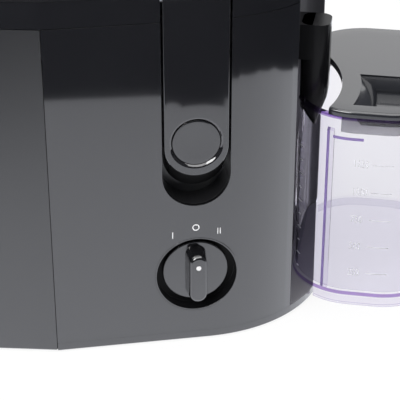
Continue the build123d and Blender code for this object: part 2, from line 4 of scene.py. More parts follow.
import bmesh
import bpy
import numpy as np
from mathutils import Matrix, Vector


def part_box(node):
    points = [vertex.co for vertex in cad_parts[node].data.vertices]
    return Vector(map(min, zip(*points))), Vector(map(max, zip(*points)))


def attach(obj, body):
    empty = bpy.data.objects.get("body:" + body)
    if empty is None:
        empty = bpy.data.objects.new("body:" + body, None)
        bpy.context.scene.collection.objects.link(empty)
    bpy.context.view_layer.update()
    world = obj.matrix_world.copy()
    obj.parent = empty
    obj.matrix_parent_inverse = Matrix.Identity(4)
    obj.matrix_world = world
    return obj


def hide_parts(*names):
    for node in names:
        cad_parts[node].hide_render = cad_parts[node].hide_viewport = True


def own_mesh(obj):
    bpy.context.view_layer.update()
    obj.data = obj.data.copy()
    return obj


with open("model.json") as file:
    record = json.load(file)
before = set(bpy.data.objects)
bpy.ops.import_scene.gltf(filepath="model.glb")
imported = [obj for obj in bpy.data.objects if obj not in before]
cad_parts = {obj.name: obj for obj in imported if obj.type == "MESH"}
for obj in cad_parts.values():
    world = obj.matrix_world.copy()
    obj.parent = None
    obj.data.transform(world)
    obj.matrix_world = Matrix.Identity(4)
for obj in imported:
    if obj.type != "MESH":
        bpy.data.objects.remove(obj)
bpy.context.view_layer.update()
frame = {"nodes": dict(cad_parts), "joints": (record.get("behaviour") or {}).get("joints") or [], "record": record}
nodes = frame["nodes"]
scene = bpy.context.scene
mm = 0.001
print("frame loaded:", len(nodes), "nodes")

# places that everything else is measured from, taken from the frame
chuteLow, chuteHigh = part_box("feed_chute")
motorAxis = np.array([(chuteLow.x + chuteHigh.x) / 2, (chuteLow.y + chuteHigh.y) / 2])
jointAxis = {joint["name"]: np.array(joint["axis"]) for joint in frame["joints"]}
jugWay = jointAxis["jug_slide"][:2]
jugWay = jugWay / np.linalg.norm(jugWay)
jugAcross = np.array([-jugWay[1], jugWay[0]])
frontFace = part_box("front_latch_arm")[0].y
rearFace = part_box("rear_latch_arm")[1].y
roundEnd = motorAxis + np.array([8.7 * mm, 0.0])  # centre of the housing's round end
nodeBody = {node: body for body, members in frame["record"]["behaviour"]["bodies"].items()
            for node in members}


# mesh helpers

def placed(name, data):
    # a new object of the scene that holds this data
    piece = bpy.data.objects.new(name, data)
    scene.collection.objects.link(piece)
    return piece


def merged(mesh, distance, flat=None):
    # Corners within the distance become one. Then edges flatter than an angle in degrees are dissolved, or,
    # where none is given, all faces are turned outwards.
    work = bmesh.new()
    work.from_mesh(mesh)
    bmesh.ops.remove_doubles(work, verts=work.verts, dist=distance)
    if flat is None:
        bmesh.ops.recalc_face_normals(work, faces=work.faces)
    else:
        bmesh.ops.dissolve_limit(work, angle_limit=radians(flat), verts=work.verts, edges=work.edges)
    work.to_mesh(mesh)
    work.free()


def shaded(mesh, smoothAngle, material):
    # faces meeting flatter than smoothAngle shade as one, in this material
    mesh.shade_smooth()
    mesh.set_sharp_from_angle(angle=radians(smoothAngle))
    mesh.materials.clear()
    mesh.materials.append(material)


def newPiece(name, points, faces, body, material, smoothAngle=35):
    # a mesh object from whole arrays, riding on a body
    mesh = bpy.data.meshes.new(name)
    mesh.from_pydata(np.asarray(points).tolist(), [], [list(face) for face in faces])
    merged(mesh, 1e-6)
    shaded(mesh, smoothAngle, material)
    piece = placed(name, mesh)
    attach(piece, body)
    return piece


def roundEdges(piece, width, segments, limit):
    # rounds the edges whose faces meet at more than limit degrees
    edge = piece.modifiers.new("softEdges", "BEVEL")
    edge.width = width
    edge.segments = segments
    edge.limit_method = "ANGLE"
    edge.angle_limit = radians(limit)
    edge.harden_normals = True
    edge.use_clamp_overlap = True


def boxRing(left, front, right, back):
    # the four corners of a rectangle, anticlockwise
    return np.array([(left, front), (right, front), (right, back), (left, back)])


def offsetRing(corners, radii, inset, perCorner=14):
    # The outline of a polygon with round corners, moved inwards by inset. Each side is moved along its
    # inward normal, neighbouring sides are intersected, and each corner becomes an arc of its radius
    # less inset, sampled at equal angles. Corners run anticlockwise.
    corners = np.asarray(corners, float)
    following = np.roll(corners, -1, axis=0)
    sides = following - corners
    sides = sides / np.linalg.norm(sides, axis=1)[:, None]
    inward = np.stack([-sides[:, 1], sides[:, 0]], axis=1)
    arriving = np.roll(sides, 1, axis=0)
    inwardBefore = np.roll(inward, 1, axis=0)
    half = (inward + inwardBefore) / 2
    moved = corners + half * (inset / (half ** 2).sum(1))[:, None]
    turn = np.arctan2(arriving[:, 0] * sides[:, 1] - arriving[:, 1] * sides[:, 0], (arriving * sides).sum(1))
    radius = np.maximum(np.asarray(radii, float) - inset, 1e-5)
    centre = moved + half / np.linalg.norm(half, axis=1)[:, None] * (radius / np.cos(turn / 2))[:, None]
    start = np.arctan2(-inwardBefore[:, 1], -inwardBefore[:, 0])
    share = np.linspace(0, 1, perCorner)
    angle = start[:, None] + turn[:, None] * share
    ring = centre[:, None] + radius[:, None, None] * np.stack([np.cos(angle), np.sin(angle)], axis=2)
    return ring.reshape(-1, 2)


def gridFaces(rows, count, capFirst=True, capLast=True):
    # Neighbouring rows of count points, each closed round, are joined by four-sided faces. The first and
    # last row can be closed by one flat face each.
    step = np.arange(count)
    base = (np.arange(rows - 1) * count)[:, None]
    after = (step + 1) % count
    quads = np.stack([base + step, base + after, base + after + count, base + step + count], axis=2)
    faces = quads.reshape(-1, 4).tolist()
    if capFirst:
        faces.append(list(range(count - 1, -1, -1)))
    if capLast:
        faces.append(list(range((rows - 1) * count, rows * count)))
    return faces


def ringStack(rings, heights, capFirst=True, capLast=True):
    # rings of equal count stood at their heights and joined
    count = len(rings[0])
    points = np.concatenate([np.column_stack([ring, np.full(count, z)]) for ring, z in zip(rings, heights)])
    return points, gridFaces(len(rings), count, capFirst, capLast)


def softProfile(points, radii, steps=5):
    # A path of (inset, height) points whose corners are rounded: each corner is a quadratic curve
    # from one radius before it to one radius after it, with the corner as its control point.
    points = np.asarray(points, float)
    path = [points[0]]
    share = np.linspace(0, 1, steps)[:, None]
    for before, corner, after, radius in zip(points[:-2], points[1:-1], points[2:], radii):
        if radius <= 0:
            path.append(corner)
            continue
        start = corner + (before - corner) * min(0.49, radius / np.linalg.norm(before - corner))
        end = corner + (after - corner) * min(0.49, radius / np.linalg.norm(after - corner))
        path.extend((1 - share) ** 2 * start + 2 * share * (1 - share) * corner + share ** 2 * end)
    path.append(points[-1])
    return np.asarray(path)


def turned(profile, centre, direction, count=96):
    # A surface of revolution: profile rows are (radius, distance along the axis), turned round an axis
    # through centre along direction in equal steps. Rows of no radius close the ends.
    direction = np.asarray(direction, float)
    direction = direction / np.linalg.norm(direction)
    helper = np.array([0.0, 0.0, 1.0]) if abs(direction[2]) < 0.9 else np.array([1.0, 0.0, 0.0])
    sideA = np.cross(helper, direction)
    sideA = sideA / np.linalg.norm(sideA)
    sideB = np.cross(direction, sideA)
    angle = np.arange(count) * 2 * pi / count
    spoke = np.cos(angle)[:, None] * sideA + np.sin(angle)[:, None] * sideB
    profile = np.asarray(profile, float)
    reach, rise = profile[:, 0][:, None, None], profile[:, 1][:, None, None]
    points = np.asarray(centre) + reach * spoke + rise * direction
    return points.reshape(-1, 3), gridFaces(len(profile), count, False, False)


def cutBy(piece, cutter):
    # takes the cutter's space out of the piece, then drops the cutter
    modifier = piece.modifiers.new("cut", "BOOLEAN")
    modifier.object = cutter
    modifier.solver = "EXACT"
    modifier.operation = "DIFFERENCE"
    graph = bpy.context.evaluated_depsgraph_get()
    result = bpy.data.meshes.new_from_object(piece.evaluated_get(graph))
    piece.modifiers.remove(modifier)
    piece.data = result
    bpy.data.objects.remove(cutter)


def softened(node, material, width, limit):
    # a merged copy of a CAD node with its edges rounded, which stands for that node
    mesh = nodes[node].data.copy()
    merged(mesh, 2e-6, 0.6)
    mesh.normals_split_custom_set_from_vertices([(0, 0, 0)] * len(mesh.vertices))
    shaded(mesh, limit, material)
    piece = placed(node + "_finished", mesh)
    roundEdges(piece, width, 3, limit)
    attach(piece, nodeBody[node])
    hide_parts(node)


# shader groups, each placed in several materials with its own values

def newGroup(name, inputs):
    # a group of number inputs whose results are a height, a roughness and a shade
    group = bpy.data.node_groups.new(name, "ShaderNodeTree")
    for label, value in inputs.items():
        group.interface.new_socket(label, in_out="INPUT", socket_type="NodeSocketFloat").default_value = value
    for label in ("Height", "Roughness", "Shade"):
        group.interface.new_socket(label, in_out="OUTPUT", socket_type="NodeSocketFloat")
    return group, group.nodes.new("NodeGroupInput"), group.nodes.new("NodeGroupOutput")


def mathNode(tree, operation, first, second=None):
    node = tree.nodes.new("ShaderNodeMath")
    node.operation = operation
    for socket, value in zip(node.inputs, (first, second)):
        if isinstance(value, bpy.types.NodeSocket):
            tree.links.new(value, socket)
        elif value is not None:
            socket.default_value = value
    return node.outputs[0]


def noiseNode(tree, vector, scale, detail=3.0):
    node = tree.nodes.new("ShaderNodeTexNoise")
    node.inputs["Detail"].default_value = detail
    tree.links.new(vector, node.inputs["Vector"])
    if isinstance(scale, bpy.types.NodeSocket):
        tree.links.new(scale, node.inputs["Scale"])
    else:
        node.inputs["Scale"].default_value = scale
    return node.outputs["Fac"]


def giveResults(group, given, result, height, noise, spread):
    # the noise varies the roughness by spread to both sides, and the shade a little
    varied = mathNode(group, "MULTIPLY", mathNode(group, "SUBTRACT", noise, 0.5), given.outputs[spread])
    shade = mathNode(group, "ADD", mathNode(group, "MULTIPLY", noise, 0.3), 0.85)
    group.links.new(height, result.inputs["Height"])
    group.links.new(mathNode(group, "ADD", given.outputs["Roughness"], varied), result.inputs["Roughness"])
    group.links.new(shade, result.inputs["Shade"])


def buildMouldedGroup():
    # moulded plastic: a fine grain, a slow sink in the wall, and handling smears in the gloss
    group, given, result = newGroup("mouldedPlastic", {
        "Grain Scale": 900.0, "Grain Depth": 0.3, "Sink Depth": 0.5, "Roughness": 0.1, "Smear": 0.04})
    place = group.nodes.new("ShaderNodeTexCoord").outputs["Object"]
    grain = noiseNode(group, place, given.outputs["Grain Scale"], 2.0)
    sink = noiseNode(group, place, 14.0, 1.0)
    smear = noiseNode(group, place, 38.0, 5.0)
    height = mathNode(group, "ADD", mathNode(group, "MULTIPLY", grain, given.outputs["Grain Depth"]),
                      mathNode(group, "MULTIPLY", sink, given.outputs["Sink Depth"]))
    giveResults(group, given, result, height, smear, "Smear")
    return group


def buildBrushedGroup():
    # brushed or turned metal: noise stretched along one way
    group, given, result = newGroup("brushedMetal", {
        "Along X": 30.0, "Along Z": 1600.0, "Roughness": 0.28, "Spread": 0.2})
    place = group.nodes.new("ShaderNodeTexCoord").outputs["Object"]
    stretch = group.nodes.new("ShaderNodeVectorMath")
    stretch.operation = "MULTIPLY"
    scales = group.nodes.new("ShaderNodeCombineXYZ")
    for socket, label in zip(scales.inputs, ("Along X", "Along X", "Along Z")):
        group.links.new(given.outputs[label], socket)
    group.links.new(place, stretch.inputs[0])
    group.links.new(scales.outputs[0], stretch.inputs[1])
    lines = noiseNode(group, stretch.outputs[0], 1.0, 3.0)
    giveResults(group, given, result, lines, lines, "Spread")
    return group


mouldedGroup = buildMouldedGroup()
brushedGroup = buildBrushedGroup()


def setInputs(node, values):
    for label, value in values.items():
        node.inputs[label].default_value = value


def newMaterial(name, group, values, bump):
    # a Principled material whose roughness and relief come from a placed group
    material = bpy.data.materials.new(name)
    material.use_nodes = True
    tree = material.node_tree
    shader = tree.nodes["Principled BSDF"]
    detail = tree.nodes.new("ShaderNodeGroup")
    detail.node_tree = group
    setInputs(detail, values)
    tree.links.new(detail.outputs["Roughness"], shader.inputs["Roughness"])
    relief = tree.nodes.new("ShaderNodeBump")
    setInputs(relief, {"Strength": 1.0, "Distance": bump})
    tree.links.new(detail.outputs["Height"], relief.inputs["Height"])
    tree.links.new(relief.outputs["Normal"], shader.inputs["Normal"])
    return material, tree, shader, detail


def surface(name, group, colour, values, sockets, bump):
    # an opaque surface whose shade comes from the group too
    material, tree, shader, detail = newMaterial(name, group, values, bump)
    tint = tree.nodes.new("ShaderNodeMix")
    tint.data_type = "RGBA"
    tint.blend_type = "MULTIPLY"
    setInputs(tint, {"Factor": 1.0, "A": (*colour, 1.0)})
    tree.links.new(detail.outputs["Shade"], tint.inputs["B"])
    tree.links.new(tint.outputs["Result"], shader.inputs["Base Color"])
    setInputs(shader, sockets)
    return material


lacquer = {"IOR": 1.6, "Coat Weight": 1.0, "Coat IOR": 1.6, "Coat Roughness": 0.045}
satinCoat = {"IOR": 1.6, "Coat Weight": 1.0, "Coat IOR": 1.6, "Coat Roughness": 0.33}
lidCoat = {"IOR": 1.5, "Coat Weight": 0.75, "Coat IOR": 1.55, "Coat Roughness": 0.06}
plasticCommon = dict(smear=0.05, bump=0.00004, sockets={})   # what a plastic has unless it names its own
plastics = {
    "glossBlack": dict(colour=(0.0075, 0.0075, 0.0085), grain=700, depth=0.04, sink=0.55, rough=0.07,
                       smear=0.03, bump=0.00003, sockets=lacquer),
    "satinBlack": dict(colour=(0.010, 0.010, 0.0112), grain=1500, depth=0.5, sink=0.3, rough=0.36,
                       bump=0.00004, sockets=satinCoat),
    "darkPlastic": dict(colour=(0.022, 0.022, 0.023), grain=1800, depth=0.8, sink=0.2, rough=0.46,
                        smear=0.06, bump=0.00005),
    # painted shade: near-black and weakly reflecting, for the dial's recess and the arms' lower lips
    "paintedShadeBlack": dict(colour=(0.006, 0.006, 0.0065), grain=1600, depth=0.6, sink=0.1, rough=0.42,
                        bump=0.00003, sockets={"Specular IOR Level": 0.12}),
    # painted light: a lighter grey for the base plate's top, standing in for light that reaches it under the jug
    "paintedLightGrey": dict(colour=(0.25, 0.245, 0.265), grain=1400, depth=0.8, sink=0.1, rough=0.6,
                    bump=0.00004, sockets={"Specular IOR Level": 0.05}),
    "bayBlack": dict(colour=(0.045, 0.044, 0.050), grain=1400, depth=0.8, sink=0.1, rough=0.6,
                     bump=0.00004, sockets={"Specular IOR Level": 0.05}),
    "skirtGrey": dict(colour=(0.36, 0.36, 0.37), grain=900, depth=0.3, sink=0.4, rough=0.3,
                      bump=0.00003, sockets={"IOR": 1.55}),
    # painted shade: a weakly reflecting black that keeps the spout dark, as it lies in shadow
    "spoutBlack": dict(colour=(0.009, 0.009, 0.010), grain=1200, depth=0.3, sink=0.2, rough=0.22,
                       bump=0.00003, sockets={"Specular IOR Level": 0.16}),
    "lidBlack": dict(colour=(0.018, 0.019, 0.023), grain=900, depth=0.1, sink=0.4, rough=0.17,
                     bump=0.00003, sockets=lidCoat),
    "naturalPlastic": dict(colour=(0.55, 0.55, 0.53), grain=1500, depth=0.5, sink=0.3, rough=0.4),
    "rubberBlack": dict(colour=(0.018, 0.018, 0.018), grain=2200, depth=1.0, sink=0.1, rough=0.7,
                        smear=0.08, bump=0.00006),
    "siliconeGrey": dict(colour=(0.42, 0.42, 0.42), grain=1600, depth=0.4, sink=0.2, rough=0.5),
    "boardGreen": dict(colour=(0.012, 0.09, 0.035), grain=500, depth=0.4, sink=0.1, rough=0.35,
                       smear=0.06, bump=0.00004),
    "printWhite": dict(colour=(0.86, 0.86, 0.86), grain=2500, depth=0.3, sink=0.0, rough=0.45,
                       smear=0.04, bump=0.00001),
    "carbonBlack": dict(colour=(0.012, 0.012, 0.012), grain=2600, depth=1.0, sink=0.0, rough=0.55,
                        smear=0.1, bump=0.00004),
}
metals = {
    "brushedSteel": dict(colour=(0.60, 0.60, 0.62), alongX=40, alongZ=2400,
                         rough=0.26, spread=0.2, bump=0.00001),
    "brightSteel": dict(colour=(0.68, 0.68, 0.70), alongX=60, alongZ=600,
                        rough=0.14, spread=0.1, bump=0.000005),
    "ironStack": dict(colour=(0.20, 0.20, 0.21), alongX=4, alongZ=2000,
                      rough=0.42, spread=0.15, bump=0.00003),
    "copperWire": dict(colour=(0.66, 0.28, 0.12), alongX=20, alongZ=1500,
                       rough=0.3, spread=0.15, bump=0.00004),
    "castZinc": dict(colour=(0.50, 0.50, 0.51), alongX=300, alongZ=300,
                     rough=0.45, spread=0.2, bump=0.00003),
}
materials = {}
for name, own in plastics.items():
    look = {**plasticCommon, **own}
    values = {"Grain Scale": look["grain"], "Grain Depth": look["depth"], "Sink Depth": look["sink"],
              "Roughness": look["rough"], "Smear": look["smear"]}
    materials[name] = surface(name, mouldedGroup, look["colour"], values, look["sockets"], look["bump"])
for name, look in metals.items():
    values = {"Along X": look["alongX"], "Along Z": look["alongZ"], "Roughness": look["rough"],
              "Spread": look["spread"]}
    materials[name] = surface(name, brushedGroup, look["colour"], values, {"Metallic": 1.0}, look["bump"])

clearLook = dict(face=(0.925, 0.923, 0.945), edge=(0.56, 0.52, 0.70), line=(0.20, 0.11, 0.40),
                 floorRing=(10.2 * mm, 1.4 * mm, "line"), rim=(140.0 * mm, 1.7 * mm, "line"),
                 skirt=(4.6 * mm, 3.2 * mm, "pale"), skirtEdge=(1.3 * mm, 0.6 * mm, "middle"),
                 pale=(0.80, 0.78, 0.86), middle=(0.55, 0.50, 0.68), frontOf=18 * mm,
                 smoke=(0.80, 0.81, 0.84), smokeEdge=(0.45, 0.46, 0.50), shadow=(0.905, 0.90, 0.925),
                 facingBlend=0.25, uprightBelow=0.6)


def clearPlastic(name, faceColour, edgeColour, bands=()):
    # Clear plastic: pale where it is seen square on and deeper at its edges. Each band is a height, a half
    # width and the name of the colour that upright walls before the motor axis take there.
    values = {"Grain Scale": 300, "Grain Depth": 0.05, "Sink Depth": 0.8, "Roughness": 0.03, "Smear": 0.03}
    material, tree, shader = newMaterial(name, mouldedGroup, values, 0.00004)[:3]
    setInputs(shader, {"Transmission Weight": 1.0, "IOR": 1.03, "Coat Weight": 0.12, "Coat IOR": 1.45,
                       "Coat Roughness": 0.03})
    facing = tree.nodes.new("ShaderNodeLayerWeight")
    facing.inputs["Blend"].default_value = clearLook["facingBlend"]
    tint = tree.nodes.new("ShaderNodeMix")
    tint.data_type = "RGBA"
    setInputs(tint, {"A": (*faceColour, 1.0), "B": (*edgeColour, 1.0)})
    tree.links.new(facing.outputs["Facing"], tint.inputs["Factor"])
    colour = tint.outputs["Result"]
    place = tree.nodes.new("ShaderNodeTexCoord")
    splitPlace = tree.nodes.new("ShaderNodeSeparateXYZ")
    tree.links.new(place.outputs["Object"], splitPlace.inputs[0])
    shape = tree.nodes.new("ShaderNodeNewGeometry")
    splitNormal = tree.nodes.new("ShaderNodeSeparateXYZ")
    tree.links.new(shape.outputs["Normal"], splitNormal.inputs[0])
    lean = mathNode(tree, "ABSOLUTE", splitNormal.outputs[2])
    upright = mathNode(tree, "LESS_THAN", lean, clearLook["uprightBelow"])
    upright = mathNode(tree, "MULTIPLY", upright, mathNode(
        tree, "LESS_THAN", splitPlace.outputs[1], motorAxis[1] - clearLook["frontOf"]))
    for height, halfWidth, depth in bands:
        near = mathNode(tree, "LESS_THAN", mathNode(tree, "ABSOLUTE", mathNode(
            tree, "SUBTRACT", splitPlace.outputs[2], height)), halfWidth)
        band = tree.nodes.new("ShaderNodeMix")
        band.data_type = "RGBA"
        band.inputs["B"].default_value = (*clearLook[depth], 1.0)
        tree.links.new(mathNode(tree, "MULTIPLY", near, upright), band.inputs["Factor"])
        tree.links.new(colour, band.inputs["A"])
        colour = band.outputs["Result"]
    tree.links.new(colour, shader.inputs["Base Color"])
    # shadow rays pass through, so that what stands inside and behind is lit
    rays = tree.nodes.new("ShaderNodeLightPath")
    clear = tree.nodes.new("ShaderNodeBsdfTransparent")
    clear.inputs["Color"].default_value = (*clearLook["shadow"], 1.0)
    blend = tree.nodes.new("ShaderNodeMixShader")
    tree.links.new(rays.outputs["Is Shadow Ray"], blend.inputs[0])
    tree.links.new(shader.outputs[0], blend.inputs[1])
    tree.links.new(clear.outputs[0], blend.inputs[2])
    tree.links.new(blend.outputs[0], tree.nodes["Material Output"].inputs["Surface"])
    return material


jugBands = [clearLook[band] for band in ("skirt", "skirtEdge", "floorRing", "rim")]
materials["clearViolet"] = clearPlastic("clearViolet", clearLook["face"], clearLook["edge"], jugBands)
materials["smokeClear"] = clearPlastic("smokeClear", clearLook["smoke"], clearLook["smokeEdge"])
ribLook = dict(face=(0.985, 0.98, 0.99), edge=(0.34, 0.20, 0.62))
materials["ribClear"] = clearPlastic("ribClear", ribLook["face"], ribLook["edge"])
for name, colour, rough, sockets in (
        ("markWhite", (0.9, 0.9, 0.93), 0.35, {"Transmission Weight": 0.55, "IOR": 1.2}),
        ("violetEdge", (0.36, 0.27, 0.58), 0.2, {"Transmission Weight": 0.6, "IOR": 1.3})):
    values = {"Grain Scale": 900, "Grain Depth": 0.2, "Sink Depth": 0.1, "Roughness": rough, "Smear": 0.05}
    materials[name] = surface(name, mouldedGroup, colour, values, sockets, 0.00002)
slotMaterial = {
    "gloss_black": "glossBlack", "satin_black": "satinBlack", "dark_plastic": "darkPlastic",
    "natural_plastic": "naturalPlastic", "clear_violet": "clearViolet", "smoke_clear": "smokeClear",
    "rubber": "rubberBlack", "silicone": "siliconeGrey", "steel": "brushedSteel",
    "spring_steel": "brightSteel",
    "iron_stack": "ironStack", "copper": "copperWire", "carbon": "carbonBlack", "board_green": "boardGreen",
    "zinc": "castZinc",
}
nodeSlot = {part["node"]: part["material_slot"] for part in frame["record"]["subparts"]}
for node, piece in nodes.items():
    material = materials[slotMaterial[nodeSlot[node]]]
    for place in piece.material_slots:
        place.material = material
print("materials ready:", len(materials))


# housing, arms and other casings that keep their CAD shape

casingEdges = {   # rounding of the edges, and the angle from which an edge counts as one
    "motor_housing": (0.7 * mm, 28), "base_plate": (0.25 * mm, 28), "front_latch_arm": (0.7 * mm, 15),
    "rear_latch_arm": (0.7 * mm, 15), "cord_gland": (0.5 * mm, 28), "front_slot_liner": (0.5 * mm, 28),
    "rear_slot_liner": (0.5 * mm, 28), "jug_handle": (3.0 * mm, 28), "dial_bezel": (0.3 * mm, 28),
}
for node, (width, limit) in casingEdges.items():
    look = "glossBlack" if node == "base_plate" else slotMaterial[nodeSlot[node]]
    softened(node, materials[look], width, limit)


def secondFinish(node, material, chosen):
    # gives the faces that chosen picks, from arrays of face normals and centres, another finish
    piece = bpy.data.objects[node + "_finished"]
    piece.data.materials.append(material)
    count = len(piece.data.polygons)
    normals, centres = np.empty(count * 3), np.empty(count * 3)
    piece.data.polygons.foreach_get("normal", normals)
    piece.data.polygons.foreach_get("center", centres)
    index = chosen(normals.reshape(-1, 3), centres.reshape(-1, 3)).astype(np.int32)
    piece.data.polygons.foreach_set("material_index", index)


# a dark strip of painted shade fills the seam between the housing and the pulp container, set back from the faces
seamShadeSizes = dict(clear=0.03 * mm, thick=0.3 * mm, setBack=1.2 * mm, bottom=1.4 * mm, top=200 * mm)


def makeSeamShade():
    # a thin upright dark block beside the housing's left end, painted shade in the seam
    size = seamShadeSizes
    low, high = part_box("motor_housing")
    right = low.x - size["clear"]
    left, front, back = right - size["thick"], low.y + size["setBack"], high.y - size["setBack"]
    ring = boxRing(left, front, right, back)
    points, faces = ringStack([ring, ring], [size["bottom"], size["top"]])
    newPiece("seam_shade_strip", points, faces, "base_unit", materials["rubberBlack"])


# where the second finishes lie: parts of the face normal along a direction, and distances from the motor axis
finishLimits = dict(facing=0.9, turning=0.5, bayFrom=70 * mm, cornerFrom=60 * mm, gripTilt=-0.2,
                    gripTop=125 * mm, gripFrom=80 * mm, recessDepth=5 * mm)


def bayWall(normal, centre):
    # the wall beside the jug, straight and then round the jug's rear corner
    size, toJug, away = finishLimits, normal[:, :2] @ jugWay, centre[:, :2] - motorAxis
    rounded = (toJug > size["turning"]) & (away @ jugAcross > size["cornerFrom"])
    return ((toJug > size["facing"]) | rounded) & (away @ jugWay > size["bayFrom"])


makeSeamShade()
# the wall beside the jug is grained, and the bottom of the dial's recess is near-black and weakly reflecting, a
# painted shade
limits = finishLimits
secondFinish("motor_housing", materials["bayBlack"], bayWall)
# painted light: the base plate's top faces are a lighter grey than the rest of the plate
secondFinish("base_plate", materials["paintedLightGrey"], lambda normal, centre: normal[:, 2] > limits["facing"])
# painted shade: the downward faces of the arms' lower lips are near-black and weakly reflecting
for side, way in (("front", -1), ("rear", 1)):
    secondFinish(side + "_latch_arm", materials["paintedShadeBlack"], lambda normal, centre: (
        (normal[:, 2] < limits["gripTilt"]) & (centre[:, 2] < limits["gripTop"])
        & (way * (centre[:, 1] - motorAxis[1]) > limits["gripFrom"])))
secondFinish("dial_bezel", materials["paintedShadeBlack"], lambda normal, centre: (
    (normal[:, 1] < -limits["facing"]) & (centre[:, 1] > frontFace + limits["recessDepth"])))
print("casings softened")

# dial knob, its dot and its marks

dialSizes = dict(height=49.4, discRadius=21.3, discFront=5.0, discBack=8.4, barRoot=(13.6, 38.0),
                 barTip=(11.0, 33.0), proud=7.5, dotRadius=1.6, dotHeight=8.7, dotProud=0.05,
                 discEdges=(0.3, 1.1))


def onFront(points):
    # rows of (across, up, outwards) in millimetres, placed on the front face about the motor axis
    points = np.asarray(points, float) * mm
    return np.column_stack([motorAxis[0] + points[:, 0], frontFace - points[:, 2], points[:, 1]])


def barRing(size, inset):
    # one outline of the grip bar: a slot with round ends, drawn inwards by inset
    halfWidth, halfLength = size[0] / 2, size[1] / 2
    corners = boxRing(-halfWidth, -halfLength, halfWidth, halfLength)
    return offsetRing(corners, [halfWidth] * 4, inset, 12)


def makeDial():
    up, back, front, radius = (dialSizes[size] for size in ("height", "discBack", "discFront", "discRadius"))
    disc = softProfile([(0, -back), (radius, -back), (radius, -front), (0, -front)], dialSizes["discEdges"])
    centre = [motorAxis[0], frontFace, up * mm]
    points, faces = turned(disc * mm, centre, (0, -1, 0), 128)
    # the bar narrows from root to tip and its end is rounded over
    rootWidth, tipWidth = np.array(dialSizes["barRoot"]), np.array(dialSizes["barTip"])
    rise = dialSizes["proud"] + front
    rows = [(0.0, 0.0), (0.2, 0.0), (0.4, 0.0), (0.6, 0.0), (0.8, 0.0), (0.88, 0.12), (0.93, 0.35),
            (0.97, 0.75), (0.99, 1.2), (1.0, 1.8)]
    rings = [barRing(rootWidth + (tipWidth - rootWidth) * share, inset) for share, inset in rows]
    heights = [share * rise - front for share, inset in rows]
    bar, barFaces = ringStack(rings, heights)
    bar[:, 1] += up
    points, faces = joined([(points, faces), (onFront(bar), barFaces)])
    knob = newPiece("dial_knob_finished", points, faces, "dial", materials["glossBlack"], 40)
    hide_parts("dial_knob")
    under, over = dialSizes["proud"] - dialSizes["dotProud"], dialSizes["proud"] + dialSizes["dotProud"]
    dot = [(0, under), (dialSizes["dotRadius"], under), (dialSizes["dotRadius"], over), (0, over)]
    dotCentre = [motorAxis[0], frontFace, (up + dialSizes["dotHeight"]) * mm]
    points, faces = turned(np.array(dot) * mm, dotCentre, (0, -1, 0), 32)
    newPiece("dial_dot", points, faces, "dial", materials["printWhite"])


dialMarks = dict(bars=[((-15.7, 77.0), (-15.1, 81.6)), ((13.1, 78.0), (13.65, 82.3)),
                       ((14.7, 78.0), (15.25, 82.3))],   # (across, up) of two corners each
                 ringPlace=(-0.6, 83.8), ringRadii=(1.65, 2.3), sunk=-0.02, proud=0.05)


def flatPatch(low, high):
    # a thin printed block on the front face between two (across, up) corners
    corners = boxRing(*low, *high)
    points, faces = ringStack([corners, corners], [dialMarks["sunk"], dialMarks["proud"]])
    return onFront(points), faces


def joined(pieces):
    # several (points, faces) as one
    points, faces, count = [], [], 0
    for places, sides in pieces:
        points.append(places)
        faces += [[index + count for index in face] for face in sides]
        count += len(places)
    return np.concatenate(points), faces


def makeMarks():
    # I and II as printed bars, O as a turned ring
    look = dialMarks
    inner, outer = look["ringRadii"]
    ring = np.array([(inner, look["sunk"]), (outer, look["sunk"]), (outer, look["proud"]),
                     (inner, look["proud"]), (inner, look["sunk"])]) * mm
    across, up = look["ringPlace"]
    pieces = [flatPatch(low, high) for low, high in look["bars"]]
    pieces.append(turned(ring, [motorAxis[0] + across * mm, frontFace, up * mm], (0, -1, 0), 40))
    points, faces = joined(pieces)
    newPiece("dial_marks", points, faces, "base_unit", materials["printWhite"])


makeDial()
makeMarks()
print("dial made")

# release buttons

buttonSizes = dict(height=142.6, radius=14.92, sunk=1.2, thick=4.0, dish=0.35, edge=0.3, border=2.2,
                   backBorder=1.5)
springSizes = dict(wire=0.45 * mm, turns=5.0, perTurn=28, sides=10, travel=3.1 * mm)


def makeButton(side, way, face):
    # a round button: a profile turned about its axis, with a rounded edge and a slightly dished face
    size = buttonSizes
    front, radius, inner = -size["sunk"], size["radius"], size["radius"] - size["border"]
    back = front - size["thick"]
    rim = softProfile([(radius - size["backBorder"], back), (radius, back), (radius, front), (inner, front)],
                      (0.3, size["edge"]), 6)
    dishRadius = np.linspace(inner, 0, 7)[1:]
    dish = np.column_stack([dishRadius, front - size["dish"] * np.cos(dishRadius / inner * pi / 2)])
    profile = np.concatenate([[(0, back)], rim, dish])
    points, faces = turned(profile * mm, [motorAxis[0], face, size["height"] * mm], (0, way, 0), 96)
    piece = newPiece(side + "_button_finished", points, faces, side + "_button",
                     materials["glossBlack"], 40)
    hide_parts(side + "_release_button")


